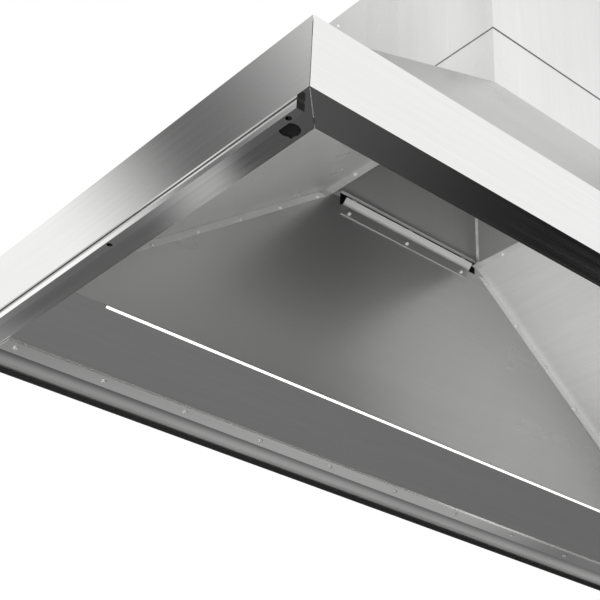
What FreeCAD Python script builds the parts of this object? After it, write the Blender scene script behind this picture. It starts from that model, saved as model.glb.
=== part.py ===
"""Wall canopy range hood, 1520 mm wide, in millimetres.

X runs along the width, Y from the cook (minus) to the wall (0), Z up.
The origin is on the wall plane, on the centreline, level with the rim's underside.
"""
import FreeCAD, Part
import os
import re
import Sketcher

VECTOR = FreeCAD.Vector

# --------------------------------------------------------------------------
# Driving dimensions, in millimetres and degrees
# --------------------------------------------------------------------------
SIZES = {
    # canopy rim
    "hood_width": 1520,
    "hood_depth": 692,
    "rim_height": 83,
    "sheet_wall": 1.2,
    "seam_gap": 0.5,
    "flange_width": 43,
    "lip_height": 12,
    "ledge_width": 19,
    "ledge_lap": 4,
    "bracket_leg": 30,
    "bracket_wall": 2,
    "bracket_height": 58,
    # canopy slopes and chimney
    "canopy_height": 506,
    "chimney_width": 364,
    "chimney_reach": 398,
    "seat_width": 17,
    "foot_width": 14,
    "bead_width": 3.5,
    "seat_screw_rear": 65,
    "seat_screw_pitch": 223,
    "seat_screw_spread": 182,
    "chimney_top": 868,
    "upper_cover_length": 258,
    "outlet_drop": 82,
    "slide_gap": 0.4,
    # wall side
    "seal_thickness": 3,
    "seal_height": 12,
    "seal_drop": 4.5,
    "batten_depth": 18,
    "batten_height": 62,
    "wall_hole_pitch": 812.8,
    "wall_hole_radius": 4.25,
    "wall_hole_level": 31,
    "access_radius": 9,
    "batten_screw_pitch": 240,
    "batten_screw_count": 6,
    # rear trough and its light
    "rear_flange_reach": 82,
    "strip_reach": 83,
    "strip_width": 28,
    "strip_thickness": 3,
    "trough_flange": 33,
    "trough_length": 81.1,
    "trough_angle": 50,
    "trough_screw_end": 16.9,
    "trough_screw_count": 12,
    "trough_screw_reach": 70,
    "lens_height": 3.6,
    "lens_proud": 0.6,
    "lens_depth": 2.4,
    "lens_end": 97.5,
    "board_thickness": 1.2,
    "light_bar_width": 14,
    "light_bar_depth": 9.8,
    # rear hips
    "hip_strip_width": 10.4,
    "hip_strip_thickness": 2,
    "hip_strip_end": 14,
    "hip_screw_pitch": 94,
    "hip_screw_count": 7,
    "hip_screw_start": 24,
    "hip_screw_inset": 3.1,
    # hanging slot, cleat and its stiffener
    "slot_width": 322,
    "slot_shift": 12,
    "slot_below": 14,
    "slot_above": 10.2,
    "slot_lip": 6.8,
    "slot_cap_rise": 26,
    "tab_width": 9,
    "tab_pitch": 130,
    "tab_shift": 14,
    "tab_clearance": 0.4,
    "cleat_width": 300,
    "cleat_thickness": 2,
    "cleat_height": 50,
    "cleat_drop": 26,
    "cleat_leg": 39,
    "cleat_angle": 49,
    "cleat_hole_pitch": 200,
    "cleat_hole_drop": 25,
    "cleat_hole_radius": 3.5,
    "stiffener_width": 297,
    "stiffener_shift": 2,
    "stiffener_height": 18,
    "stiffener_thickness": 2,
    "stiffener_screw_pitch": 132,
    "stiffener_screw_lift": 6,
    # side rails under the rim
    "rail_inset": 3,
    "rail_width": 9.4,
    "rail_height": 9.2,
    "rail_gasket": 1.5,
    "rail_gasket_inset": 0.6,
    "rail_front": 21,
    "rail_rear": 51.6,
    "rail_hole_inset": 16.4,
    "rail_hole_count": 3,
    "rail_recess_radius": 3.2,
    "rail_recess_depth": 5,
    # screws
    "screw_radius": 1.9,
    "screw_head_radius": 3.4,
    "screw_head_height": 2.2,
    "screw_tail": 6,
    "screw_gap": 0.2,
    "small_screw_radius": 1.5,
    "small_head_radius": 2.7,
    "small_head_height": 1.8,
    "cap_head_radius": 3,
    "cap_head_height": 4.2,
    "socket_radius": 1.2,
    "socket_depth": 1.1,
    "head_round": 1.2,
    # light switch
    "switch_radius": 10.5,
    "switch_side_inset": 28.2,
    "switch_front_inset": 61,
    "switch_gap": 0.1,
    "key_radius": 2,
    "key_reach": 10.8,
    "switch_height": 30,
    "switch_recess": 0.2,
    "switch_wall": 0.9,
    "switch_shoulder": 2.2,
    "shoulder_height": 2,
    "button_radius": 8.4,
    "button_gap": 0.3,
    "button_travel": 2.5,
    "button_throat": 4,
    "button_rim": 0.8,
    "button_rim_height": 3,
    "spring_radius": 6,
    "spring_wall": 1,
    "strap_width": 12,
    "strap_wall": 1.2,
    "strap_foot": 8,
    "blade_width": 6.3,
    "blade_thickness": 0.8,
    "blade_height": 8,
    "blade_spread": 8,
    # duct outlet
    "plate_thickness": 1.5,
    "collar_radius": 126,
    "collar_wall": 1.2,
    "collar_height": 66,
    "collar_flange": 14,
    "damper_level": 22,
    "pin_radius": 2.5,
    "pin_clearance": 0.06,
    "flap_gap": 1.6,
    "flap_thickness": 1,
    "flap_drop": 2.5,
    "flap_hinge_gap": 5,
    "knuckle_radius": 4,
    "knuckle_length": 30,
    "knuckle_pitch": 110,
    "knuckle_shift": 40,
    "stop_width": 7,
    "stop_thickness": 1.5,
    "rest_gap": 0.3,
    # chimney bracket
    "top_bracket_wall": 1.5,
    "top_bracket_ear": 60,
    "top_bracket_height": 32,
    "top_bracket_drop": 8,
    "top_bracket_screw_reach": 42,
    "top_bracket_hole_pitch": 240,
    "top_bracket_hole_radius": 3.3,
    # electrical box
    "box_length": 90,
    "box_height": 80,
    "box_depth": 40,
    "box_wall": 1.5,
    "box_drop": 56,
    "box_reach": 60,
    "lid_screw_inset": 9,
    "gland_radius": 9,
    "gland_stem_radius": 6,
    "gland_bore": 4.5,
    "gland_height": 18,
}

doc = FreeCAD.newDocument("range_hood")
sheet = doc.addObject("Spreadsheet::Sheet", "Sizes")
for row, (alias, value) in enumerate(SIZES.items(), start=1):
    sheet.set("A%d" % row, alias)
    sheet.set("B%d" % row, str(value))
    sheet.setAlias("B%d" % row, alias)
doc.recompute()

# --------------------------------------------------------------------------
# Places that several pieces share, as expressions of the sheet's values
# --------------------------------------------------------------------------
SIDE = "(hood_width / 2)"
FRONT = "(-hood_depth)"
METAL_REAR = "(-seal_thickness)"
PANEL_OUT = "(-seal_thickness - batten_depth)"
PANEL_IN = "(-seal_thickness - batten_depth - sheet_wall)"
LIP_SIDE = "(hood_width / 2 - flange_width - seam_gap)"
BASE_SIDE = "(hood_width / 2 - ledge_width)"
BASE_FRONT = "(-hood_depth + ledge_width)"
CHIMNEY_SIDE = "(chimney_width / 2)"
CHIMNEY_FRONT = "(-chimney_reach)"
RISE = "(canopy_height - rim_height)"
SIDE_RUN = "(hood_width / 2 - ledge_width - chimney_width / 2)"
FRONT_RUN = "(hood_depth - ledge_width - chimney_reach)"
SIDE_WALL = f"(sheet_wall * sqrt({SIDE_RUN}^2 + {RISE}^2) / {RISE})"
FRONT_WALL = f"(sheet_wall * sqrt({FRONT_RUN}^2 + {RISE}^2) / {RISE})"
HIP_LENGTH = f"sqrt({SIDE_RUN}^2 + {RISE}^2)"
PLAN_APEX = f"({BASE_FRONT} + {BASE_SIDE} * {FRONT_RUN} / {SIDE_RUN})"
TROUGH_PITCH = f"(2 * ({LIP_SIDE} - trough_screw_end) / (trough_screw_count - 1))"
LENS_LENGTH = f"(2 * ({LIP_SIDE} - lens_end))"
SCREW_HOLE = "(screw_radius + screw_gap)"
SMALL_HOLE = "(small_screw_radius + screw_gap)"
RAIL_OUT = f"(-{SIDE} + rail_inset)"
RAIL_TOP = "(-rail_gasket)"
RAIL_LOW = "(-rail_gasket - rail_height)"
RAIL_LENGTH = "(hood_depth - rail_front - rail_rear)"
RAIL_PITCH = f"(({RAIL_LENGTH} - 2 * rail_hole_inset) / (rail_hole_count - 1))"
SWITCH_X = f"(-{SIDE} + switch_side_inset)"
SWITCH_Y = f"({FRONT} + switch_front_inset)"
SLOT_LEFT = "(slot_shift - slot_width / 2)"
SLOT_RIGHT = "(slot_shift + slot_width / 2)"
SLOT_LOW = "(canopy_height - slot_below)"
SLOT_HIGH = "(canopy_height + slot_above)"
CLEAT_BEND = "(canopy_height - cleat_drop)"
CLEAT_LOW = f"({CLEAT_BEND} - cleat_height)"
COLLAR_Y = f"(({CHIMNEY_FRONT} + {PANEL_OUT}) / 2)"
OUTLET_LEVEL = "(chimney_top - outlet_drop)"
COLLAR_BASE = f"({OUTLET_LEVEL} + plate_thickness)"
PIN_LEVEL = f"({COLLAR_BASE} + damper_level)"
BOX_WALL_SIDE = f"(-{CHIMNEY_SIDE} + sheet_wall)"
BOX_INNER_SIDE = f"({BOX_WALL_SIDE} + box_depth)"
BOX_NEAR = "(-box_reach - box_length)"
BOX_TOP = f"({OUTLET_LEVEL} - box_drop)"
BOX_LOW = f"({BOX_TOP} - box_height)"
GLAND_X = f"({BOX_WALL_SIDE} + box_depth / 2)"
GLAND_Y = "(-box_reach - box_length / 2)"
COVER_SIDE = f"({CHIMNEY_SIDE} + slide_gap)"
COVER_FRONT = f"({CHIMNEY_FRONT} - slide_gap)"
CUT_MARGIN = "(flange_width / 4)"


def full(text):
    """Give each size its sheet, so that the text is an expression of the document."""
    return re.sub(r"[a-z_]+", lambda m: "Sizes." + m.group(0) if m.group(0) in SIZES else m.group(0),
                  str(text))


def number(text):
    """The present value of an expression."""
    return float(sheet.evalExpression(full(text)))


def bind(thing, **expressions):
    """Bind properties; a double underscore in a name stands for a dot."""
    for name, text in expressions.items():
        thing.setExpression(name.replace("__", "."), full(text))


def at(thing, x="0", y="0", z="0"):
    """Bind the place of a primitive."""
    bind(thing, Placement__Base__x=x, Placement__Base__y=y, Placement__Base__z=z)
    return thing


# --------------------------------------------------------------------------
# Sketched bodies
# --------------------------------------------------------------------------
def new_body(name):
    body = doc.addObject("PartDesign::Body", name)
    body.Label = name
    return body


def attach(thing, body, plane, offset):
    """Lay a sketch or primitive on one of its body's planes."""
    for feature in body.Origin.OriginFeatures:
        if feature.Role == plane:
            thing.AttachmentSupport = (feature, [""])
    thing.MapMode = "FlatFace"
    bind(thing, AttachmentOffset__Base__z=offset)
    return thing


def new_sketch(body, plane, offset="0"):
    sketch = body.newObject("Sketcher::SketchObject", body.Name + "_sketch")
    return attach(sketch, body, plane, offset)


def fix_point(sketch, geometry, position, x, y):
    """Hold one point of a sketch at two expressions."""
    for kind, text in (("DistanceX", x), ("DistanceY", y)):
        index = sketch.addConstraint(
            Sketcher.Constraint(kind, -1, 1, geometry, position, number(text)))
        sketch.setExpression("Constraints[%d]" % index, full(text))


def add_outline(sketch, corners):
    """A closed outline of straight lines through the corners."""
    first = sketch.GeometryCount
    places = [VECTOR(number(x), number(y), 0) for x, y in corners]
    count = len(corners)
    for i in range(count):
        sketch.addGeometry(Part.LineSegment(places[i], places[(i + 1) % count]))
    for i in range(count):
        sketch.addConstraint(
            Sketcher.Constraint("Coincident", first + i, 2, first + (i + 1) % count, 1))
    for i, (x, y) in enumerate(corners):
        fix_point(sketch, first + i, 1, x, y)


def add_circle(sketch, x, y, radius):
    circle = Part.Circle(VECTOR(number(x), number(y), 0), VECTOR(0, 0, 1), number(radius))
    index = sketch.addGeometry(circle)
    fix_point(sketch, index, 3, x, y)
    rule = sketch.addConstraint(Sketcher.Constraint("Radius", index, number(radius)))
    sketch.setExpression("Constraints[%d]" % rule, full(radius))


def pad(body, plane, corners, length, offset="0", symmetric=False, inner=()):
    """Raise an outline; inner holds further outlines that are holes in it."""
    sketch = new_sketch(body, plane, offset)
    add_outline(sketch, corners)
    for outline in inner:
        add_outline(sketch, outline)
    return raise_sketch(body, sketch, length, symmetric)


def raise_sketch(body, sketch, length, symmetric=False):
    feature = body.newObject("PartDesign::Pad", body.Name + "_pad")
    feature.Profile = sketch
    feature.SideType = "Symmetric" if symmetric else "One side"
    bind(feature, Length=length)
    sketch.Visibility = False
    return feature


def cut_sketch(body, sketch, length):
    """Pocket that reaches half its length to each side of the sketch."""
    feature = body.newObject("PartDesign::Pocket", body.Name + "_pocket")
    feature.Profile = sketch
    feature.Type = "Length"
    feature.SideType = "Symmetric"
    bind(feature, Length=length)
    cuts.append(feature)
    return feature


def cut_outlines(body, plane, outlines, length, offset="0"):
    sketch = new_sketch(body, plane, offset)
    for corners in outlines:
        add_outline(sketch, corners)
    return cut_sketch(body, sketch, length)


def cut_holes(body, plane, places, radius, length, offset="0"):
    sketch = new_sketch(body, plane, offset)
    for x, y in places:
        add_circle(sketch, x, y, radius)
    return cut_sketch(body, sketch, length)


def rectangle(x0, y0, x1, y1):
    return [(x0, y0), (x1, y0), (x1, y1), (x0, y1)]


def flip(corners):
    """The same outline on the other side of the centreline."""
    return [(f"(-({x}))", y) for x, y in corners]


# --------------------------------------------------------------------------
# Primitives and booleans
# --------------------------------------------------------------------------
def box(name, x0, y0, z0, x1, y1, z1):
    solid = doc.addObject("Part::Box", name)
    bind(solid, Length=f"({x1}) - ({x0})", Width=f"({y1}) - ({y0})", Height=f"({z1}) - ({z0})")
    return at(solid, x0, y0, z0)


def cylinder(name, radius, height, x, y, z, axis=None):
    """A cylinder along Z, or along X when the axis says so."""
    solid = doc.addObject("Part::Cylinder", name)
    bind(solid, Radius=radius, Height=height)
    if axis == "X":
        solid.Placement = FreeCAD.Placement(VECTOR(), FreeCAD.Rotation(VECTOR(0, 1, 0), 90))
    return at(solid, x, y, z)


def cut(name, base, tool):
    result = doc.addObject("Part::Cut", name)
    result.Base = base
    result.Tool = tool
    return result


def common(name, base, tool):
    result = doc.addObject("Part::Common", name)
    result.Base = base
    result.Tool = tool
    return result


def fuse(name, shapes):
    result = doc.addObject("Part::MultiFuse", name)
    result.Shapes = shapes
    return result


def mirrored(name, source):
    """The same piece on the other side of the centreline."""
    result = doc.addObject("Part::Mirroring", name)
    result.Source = source
    result.Normal = VECTOR(1, 0, 0)
    return result


nodes = {}
cuts = []


def node(name, thing):
    """Name a finished piece."""
    thing.Label = name
    nodes[name] = thing
    return thing


def spread(count, pitch, centre="0"):
    """Places of a row of equal pitch about a centre, as expressions."""
    total = int(round(SIZES[count])) if count in SIZES else int(count)
    return [f"({centre} + ({i} - ({count} - 1) / 2) * {pitch})" for i in range(total)]


# --------------------------------------------------------------------------
# Screws
# --------------------------------------------------------------------------
UP = FreeCAD.Rotation()
TO_WALL = FreeCAD.Rotation(VECTOR(1, 0, 0), -90)
TO_RIGHT = FreeCAD.Rotation(VECTOR(0, 1, 0), 90)
TO_LEFT = FreeCAD.Rotation(VECTOR(0, 1, 0), -90)


def screw_blank(name, radius, head_radius, head_height, length):
    """A dome-head socket screw along Z, with the head under the seat plane at 0."""
    body = new_body(name)
    head = body.newObject("PartDesign::AdditiveCylinder", name + "_head")
    attach(head, body, "XY_Plane", f"-({head_height})")
    bind(head, Radius=head_radius, Height=head_height)
    shank = body.newObject("PartDesign::AdditiveCylinder", name + "_shank")
    attach(shank, body, "XY_Plane", "0")
    bind(shank, Radius=radius, Height=length)
    doc.recompute()
    rim = edge_at(shank, number(head_radius), -number(head_height))
    dome = body.newObject("PartDesign::Fillet", name + "_dome")
    dome.Base = (shank, [rim])
    bind(dome, Radius=f"head_round * {head_height} / screw_head_height")
    socket = body.newObject("PartDesign::SubtractivePrism", name + "_socket")
    socket.Polygon = 6
    attach(socket, body, "XY_Plane", f"-({head_height})")
    bind(socket, Circumradius="socket_radius", Height="socket_depth")
    body.Tip = socket
    return body


def edge_at(feature, radius, level):
    """Name of the round edge with this radius at this level."""
    for i, edge in enumerate(feature.Shape.Edges, start=1):
        curve = edge.Curve
        if isinstance(curve, Part.Circle) and abs(curve.Radius - radius) < 1e-6 \
                and abs(curve.Center.z - level) < 1e-6:
            return "Edge%d" % i
    raise RuntimeError("no such edge on " + feature.Name)


def screw_group(name, blank, places):
    """Equal screws as one node of separate solids: places are (x, y, z, turn)."""
    doc.recompute()
    copies = []
    for x, y, z, turn in places:
        copy = blank.Shape.copy()
        copy.Placement = FreeCAD.Placement(VECTOR(number(x), number(y), number(z)), turn)
        copies.append(copy)
    group = doc.addObject("Part::Feature", name)
    group.Shape = Part.makeCompound(copies)
    group.Placement = FreeCAD.Placement()
    return node(name, group)


# --------------------------------------------------------------------------
# Canopy rim: front and side skirts, folded from sheet and mitred
# --------------------------------------------------------------------------
def skirt_profile(edge, inward):
    """Section of a skirt: fascia, bottom flange with lip, and top ledge."""
    def out(distance):
        return f"({edge} {inward} ({distance}))"
    return [
        (out("0"), "0"), (out("flange_width"), "0"), (out("flange_width"), "lip_height"),
        (out("flange_width - sheet_wall"), "lip_height"), (out("flange_width - sheet_wall"), "sheet_wall"),
        (out("sheet_wall"), "sheet_wall"), (out("sheet_wall"), "rim_height - sheet_wall"),
        (out("ledge_width + ledge_lap"), "rim_height - sheet_wall"),
        (out("ledge_width + ledge_lap"), "rim_height"), (out("0"), "rim_height"),
    ]


def make_front_skirt():
    body = new_body("front_skirt")
    pad(body, "YZ_Plane", skirt_profile(FRONT, "+"), "hood_width", symmetric=True)
    inner = f"(flange_width + {CUT_MARGIN})"
    corner = [
        (f"-{SIDE} - {CUT_MARGIN} + seam_gap", f"{FRONT} - {CUT_MARGIN}"),
        (f"-{SIDE} + {inner} + seam_gap", f"{FRONT} + {inner}"),
        (f"-{SIDE} - {CUT_MARGIN}", f"{FRONT} + {inner}"),
        (f"-{SIDE} - {CUT_MARGIN}", f"{FRONT} - {CUT_MARGIN}"),
    ]
    cut_outlines(body, "XY_Plane", [corner, flip(corner)], "4 * rim_height")
    return node("front_skirt", body)


def make_side_skirt(name):
    """A left-hand side skirt with the rail's screw holes."""
    body = new_body(name)
    pad(body, "XZ_Plane", skirt_profile(f"-{SIDE}", "+"), "hood_depth - seal_thickness",
        offset="seal_thickness")
    inner = f"(flange_width + {CUT_MARGIN})"
    corner = [
        (f"-{SIDE} - {CUT_MARGIN}", f"{FRONT} - {CUT_MARGIN} + seam_gap"),
        (f"-{SIDE} + {inner}", f"{FRONT} + {inner} + seam_gap"),
        (f"-{SIDE} + {inner}", f"{FRONT} - {CUT_MARGIN}"),
        (f"-{SIDE} - {CUT_MARGIN}", f"{FRONT} - {CUT_MARGIN}"),
    ]
    cut_outlines(body, "XY_Plane", [corner], "4 * rim_height")
    cut_holes(body, "XY_Plane", rail_holes(), SMALL_HOLE, "4 * sheet_wall")
    return body


def make_left_skirt():
    body = make_side_skirt("left_skirt")
    cut_holes(body, "XY_Plane", [(SWITCH_X, SWITCH_Y)], "switch_radius", "4 * sheet_wall")
    cut_holes(body, "XY_Plane", [key_place()], "key_radius", "4 * sheet_wall")
    return node("left_skirt", body)


def make_corner_bracket():
    body = new_body("left_corner_bracket")
    x0 = f"(-{SIDE} + sheet_wall)"
    y0 = f"({FRONT} + sheet_wall)"
    corners = [
        (x0, y0), (f"{x0} + bracket_leg", y0), (f"{x0} + bracket_leg", f"{y0} + bracket_wall"),
        (f"{x0} + bracket_wall", f"{y0} + bracket_wall"), (f"{x0} + bracket_wall", f"{y0} + bracket_leg"),
        (x0, f"{y0} + bracket_leg"),
    ]
    pad(body, "XY_Plane", corners, "bracket_height", offset="sheet_wall")
    node("left_corner_bracket", body)
    node("right_corner_bracket", mirrored("right_corner_bracket", body))


# --------------------------------------------------------------------------
# Canopy slopes, back panel and hip strips
# --------------------------------------------------------------------------
def canopy_wedge(name, side_inset, front_inset, rear):
    """A solid canopy: wide at the rim, narrow at the chimney, upright at the back."""
    wedge = doc.addObject("Part::Wedge", name)
    bind(wedge, Xmin=f"-{BASE_SIDE} + {side_inset}", Xmax=f"{BASE_SIDE} - {side_inset}",
         X2min=f"-{CHIMNEY_SIDE} + {side_inset}", X2max=f"{CHIMNEY_SIDE} - {side_inset}",
         Ymin="rim_height", Ymax="canopy_height", Zmin=rear, Z2min=rear,
         Zmax=f"-{BASE_FRONT} - {front_inset}", Z2max=f"chimney_reach - {front_inset}")
    wedge.Placement = FreeCAD.Placement(VECTOR(), FreeCAD.Rotation(VECTOR(1, 0, 0), 90))
    return wedge


def plan_prism(name, corners):
    """A column with this plan that cuts one slope out of the canopy shell."""
    body = new_body(name)
    pad(body, "XY_Plane", corners, "canopy_height")
    return body


def make_slopes():
    shell = cut("canopy_shell", canopy_wedge("canopy_outside", "0", "0", f"-{PANEL_IN}"),
                canopy_wedge("canopy_inside", SIDE_WALL, FRONT_WALL, f"-{PANEL_IN} - flange_width"))
    front_plan = [
        (f"-{BASE_SIDE} + seam_gap", BASE_FRONT), (f"{BASE_SIDE} - seam_gap", BASE_FRONT),
        ("0", f"{PLAN_APEX} - seam_gap * {FRONT_RUN} / {SIDE_RUN}"),
    ]
    side_plan = [
        (f"-{BASE_SIDE}", BASE_FRONT), ("0", PLAN_APEX), ("0", PANEL_IN), (f"-{BASE_SIDE}", PANEL_IN),
    ]
    node("front_slope", common("front_slope", shell, plan_prism("front_plan", front_plan)))
    left = common("left_slope", shell, plan_prism("side_plan", side_plan))
    node("left_slope", left)
    node("right_slope", mirrored("right_slope", left))


def make_back_panel():
    body = new_body("back_panel")
    corners = [
        (f"-{LIP_SIDE}", "0"), (LIP_SIDE, "0"), (LIP_SIDE, "rim_height"), (BASE_SIDE, "rim_height"),
        (CHIMNEY_SIDE, "canopy_height"), (SLOT_RIGHT, "canopy_height"), (SLOT_RIGHT, SLOT_LOW),
        (SLOT_LEFT, SLOT_LOW), (SLOT_LEFT, "canopy_height"), (f"-{CHIMNEY_SIDE}", "canopy_height"),
        (f"-{BASE_SIDE}", "rim_height"), (f"-{LIP_SIDE}", "rim_height"),
    ]
    pad(body, "XZ_Plane", corners, "sheet_wall", offset=f"-{PANEL_OUT}")
    flange = rectangle("-rear_flange_reach", "0", PANEL_IN, "sheet_wall")
    pad(body, "YZ_Plane", flange, f"2 * {LIP_SIDE}", symmetric=True)
    behind = f"-{PANEL_IN}"
    cut_holes(body, "XY_Plane", trough_screw_places(), SCREW_HOLE, "4 * sheet_wall")
    cut_holes(body, "XZ_Plane", wall_holes(), "access_radius", "4 * sheet_wall", behind)
    cut_holes(body, "XZ_Plane", batten_screw_places(), SMALL_HOLE, "4 * sheet_wall", behind)
    cut_holes(body, "XZ_Plane", stiffener_screw_places(), SMALL_HOLE, "4 * sheet_wall", behind)
    cut_holes(body, "XZ_Plane", hip_screw_places(), SMALL_HOLE, "4 * sheet_wall", behind)
    return node("back_panel", body)


def hip_inside(level):
    """X of the left slope's inner face at a level on the back panel."""
    return f"(-{BASE_SIDE} + {SIDE_RUN} * ({level} - rim_height) / {RISE} + {SIDE_WALL} + seam_gap)"


def make_hip_strips():
    low = "(rim_height + hip_strip_end)"
    high = "(canopy_height - hip_strip_end)"
    level_width = f"(hip_strip_width * {HIP_LENGTH} / {RISE})"
    corners = [
        (hip_inside(low), low), (f"{hip_inside(low)} + {level_width}", low),
        (f"{hip_inside(high)} + {level_width}", high), (hip_inside(high), high),
    ]
    body = new_body("left_hip_strip")
    pad(body, "XZ_Plane", corners, "hip_strip_thickness", offset=f"-{PANEL_IN}")
    cut_holes(body, "XZ_Plane", hip_screw_places()[:int(SIZES["hip_screw_count"])], SMALL_HOLE,
              "4 * hip_strip_thickness", f"-{PANEL_IN}")
    node("left_hip_strip", body)
    node("right_hip_strip", mirrored("right_hip_strip", body))


def hip_screw_places():
    """Screws along the free edges of both hip strips, from the top."""
    left = []
    for i in range(int(SIZES["hip_screw_count"])):
        level = f"(canopy_height - hip_screw_start - {i} * hip_screw_pitch * {RISE} / {HIP_LENGTH})"
        across = f"(hip_strip_width - hip_screw_inset) * {HIP_LENGTH} / {RISE}"
        left.append((f"{hip_inside(level)} + {across}", level))
    return left + flip(left)


# --------------------------------------------------------------------------
# Wall side: batten, seal, cleat and stiffener
# --------------------------------------------------------------------------
def wall_holes():
    return [(x, "wall_hole_level") for x in spread("2", "wall_hole_pitch")]


def batten_screw_places():
    return [(x, "wall_hole_level") for x in spread("batten_screw_count", "batten_screw_pitch")]


def make_batten():
    """A channel behind the back panel that opens towards the wall."""
    body = new_body("wall_batten")
    web = f"({PANEL_OUT} + sheet_wall)"
    corners = [
        (PANEL_OUT, "0"), (METAL_REAR, "0"), (METAL_REAR, "sheet_wall"), (web, "sheet_wall"),
        (web, "batten_height - sheet_wall"), (METAL_REAR, "batten_height - sheet_wall"),
        (METAL_REAR, "batten_height"), (PANEL_OUT, "batten_height"),
    ]
    pad(body, "YZ_Plane", corners, f"2 * {LIP_SIDE}", symmetric=True)
    cut_holes(body, "XZ_Plane", wall_holes(), "wall_hole_radius", "4 * sheet_wall", f"-{PANEL_OUT}")
    cut_holes(body, "XZ_Plane", batten_screw_places(), SMALL_HOLE, "4 * sheet_wall", f"-{PANEL_OUT}")
    node("wall_batten", body)
    node("wall_seal", box("wall_seal", f"-{SIDE}", METAL_REAR, "-seal_drop", SIDE, "0", "seal_height"))


def stiffener_screw_places():
    level = f"({SLOT_LOW} - stiffener_height + stiffener_screw_lift)"
    return [(x, level) for x in spread("3", "stiffener_screw_pitch", "stiffener_shift")]


def make_stiffener():
    """A flat bar under the hanging slot, on the cook's side of the back panel."""
    body = new_body("slot_stiffener")
    corners = rectangle("stiffener_shift - stiffener_width / 2", f"{SLOT_LOW} - stiffener_height",
                        "stiffener_shift + stiffener_width / 2", SLOT_LOW)
    pad(body, "XZ_Plane", corners, "stiffener_thickness", offset=f"-{PANEL_IN}")
    cut_holes(body, "XZ_Plane", stiffener_screw_places(), SMALL_HOLE, "4 * stiffener_thickness",
              f"-{PANEL_IN}")
    node("slot_stiffener", body)


def make_cleat():
    """The wall's hanging cleat: its leg leans out through the slot and carries the flue plate."""
    sine = "sin(cleat_angle * 1 deg)"
    cosine = "cos(cleat_angle * 1 deg)"
    inner = f"((cleat_thickness - cleat_thickness * {sine}) / {cosine})"
    tip_y = f"(-cleat_leg * {cosine})"
    tip_z = f"({CLEAT_BEND} + cleat_leg * {sine})"
    corners = [
        ("0", CLEAT_LOW), ("0", CLEAT_BEND), (tip_y, tip_z),
        (f"{tip_y} - cleat_thickness * {sine}", f"{tip_z} - cleat_thickness * {cosine}"),
        ("-cleat_thickness", f"{CLEAT_BEND} - cleat_thickness * {cosine} + {inner} * {sine}"),
        ("-cleat_thickness", CLEAT_LOW),
    ]
    body = new_body("wall_cleat")
    pad(body, "YZ_Plane", corners, "cleat_width", offset="slot_shift - cleat_width / 2")
    cut_holes(body, "XZ_Plane",
              [(x, f"{CLEAT_BEND} - cleat_hole_drop") for x in spread("2", "cleat_hole_pitch", "slot_shift")],
              "cleat_hole_radius", "4 * cleat_thickness")
    node("wall_cleat", body)


# --------------------------------------------------------------------------
# Rear trough with its clamp strip and light
# --------------------------------------------------------------------------
SLANT_SIN = "sin(trough_angle * 1 deg)"
SLANT_COS = "cos(trough_angle * 1 deg)"


def slant(along, off):
    """A point of the trough's leaning wall: along it, and off its lower face."""
    y = f"(-rear_flange_reach - ({along}) * {SLANT_COS} + ({off}) * {SLANT_SIN})"
    z = f"(sheet_wall + ({along}) * {SLANT_SIN} + ({off}) * {SLANT_COS})"
    return y, z


def trough_screw_places():
    return [(x, "(-trough_screw_reach)") for x in spread("trough_screw_count", TROUGH_PITCH)]


def make_trough():
    body = new_body("rear_trough")
    fold = slant(f"sheet_wall * (1 - {SLANT_COS}) / {SLANT_SIN}", "sheet_wall")
    rear = "(-rear_flange_reach + trough_flange)"
    corners = [
        (rear, "sheet_wall"), slant("0", "0"), slant("trough_length", "0"),
        slant("trough_length", "sheet_wall"), fold, (rear, "2 * sheet_wall"),
    ]
    pad(body, "YZ_Plane", corners, f"2 * ({LIP_SIDE} - sheet_wall)", symmetric=True)
    notch = [
        slant("trough_length - lens_height", "-sheet_wall"),
        slant("trough_length + sheet_wall", "-sheet_wall"),
        slant("trough_length + sheet_wall", "2 * sheet_wall"),
        slant("trough_length - lens_height", "2 * sheet_wall"),
    ]
    cut_outlines(body, "YZ_Plane", [notch], LENS_LENGTH)
    cut_holes(body, "XY_Plane", trough_screw_places(), SCREW_HOLE, "2 * sheet_wall", "1.5 * sheet_wall")
    node("rear_trough", body)


def make_trough_caps():
    body = new_body("left_trough_cap")
    tip_y, tip_z = slant("trough_length", "0")
    corners = [(PANEL_IN, "sheet_wall"), (PANEL_IN, tip_z), (tip_y, tip_z), slant("0", "0")]
    pad(body, "YZ_Plane", corners, "sheet_wall", offset=f"-{LIP_SIDE}")
    node("left_trough_cap", body)
    node("right_trough_cap", mirrored("right_trough_cap", body))


def make_trough_strip():
    body = new_body("trough_strip")
    corners = rectangle(f"-{LIP_SIDE}", "-strip_reach", LIP_SIDE, "-strip_reach + strip_width")
    pad(body, "XY_Plane", corners, "strip_thickness", offset="-strip_thickness")
    cut_holes(body, "XY_Plane", trough_screw_places(), SCREW_HOLE, "4 * strip_thickness")
    node("trough_strip", body)


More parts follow.
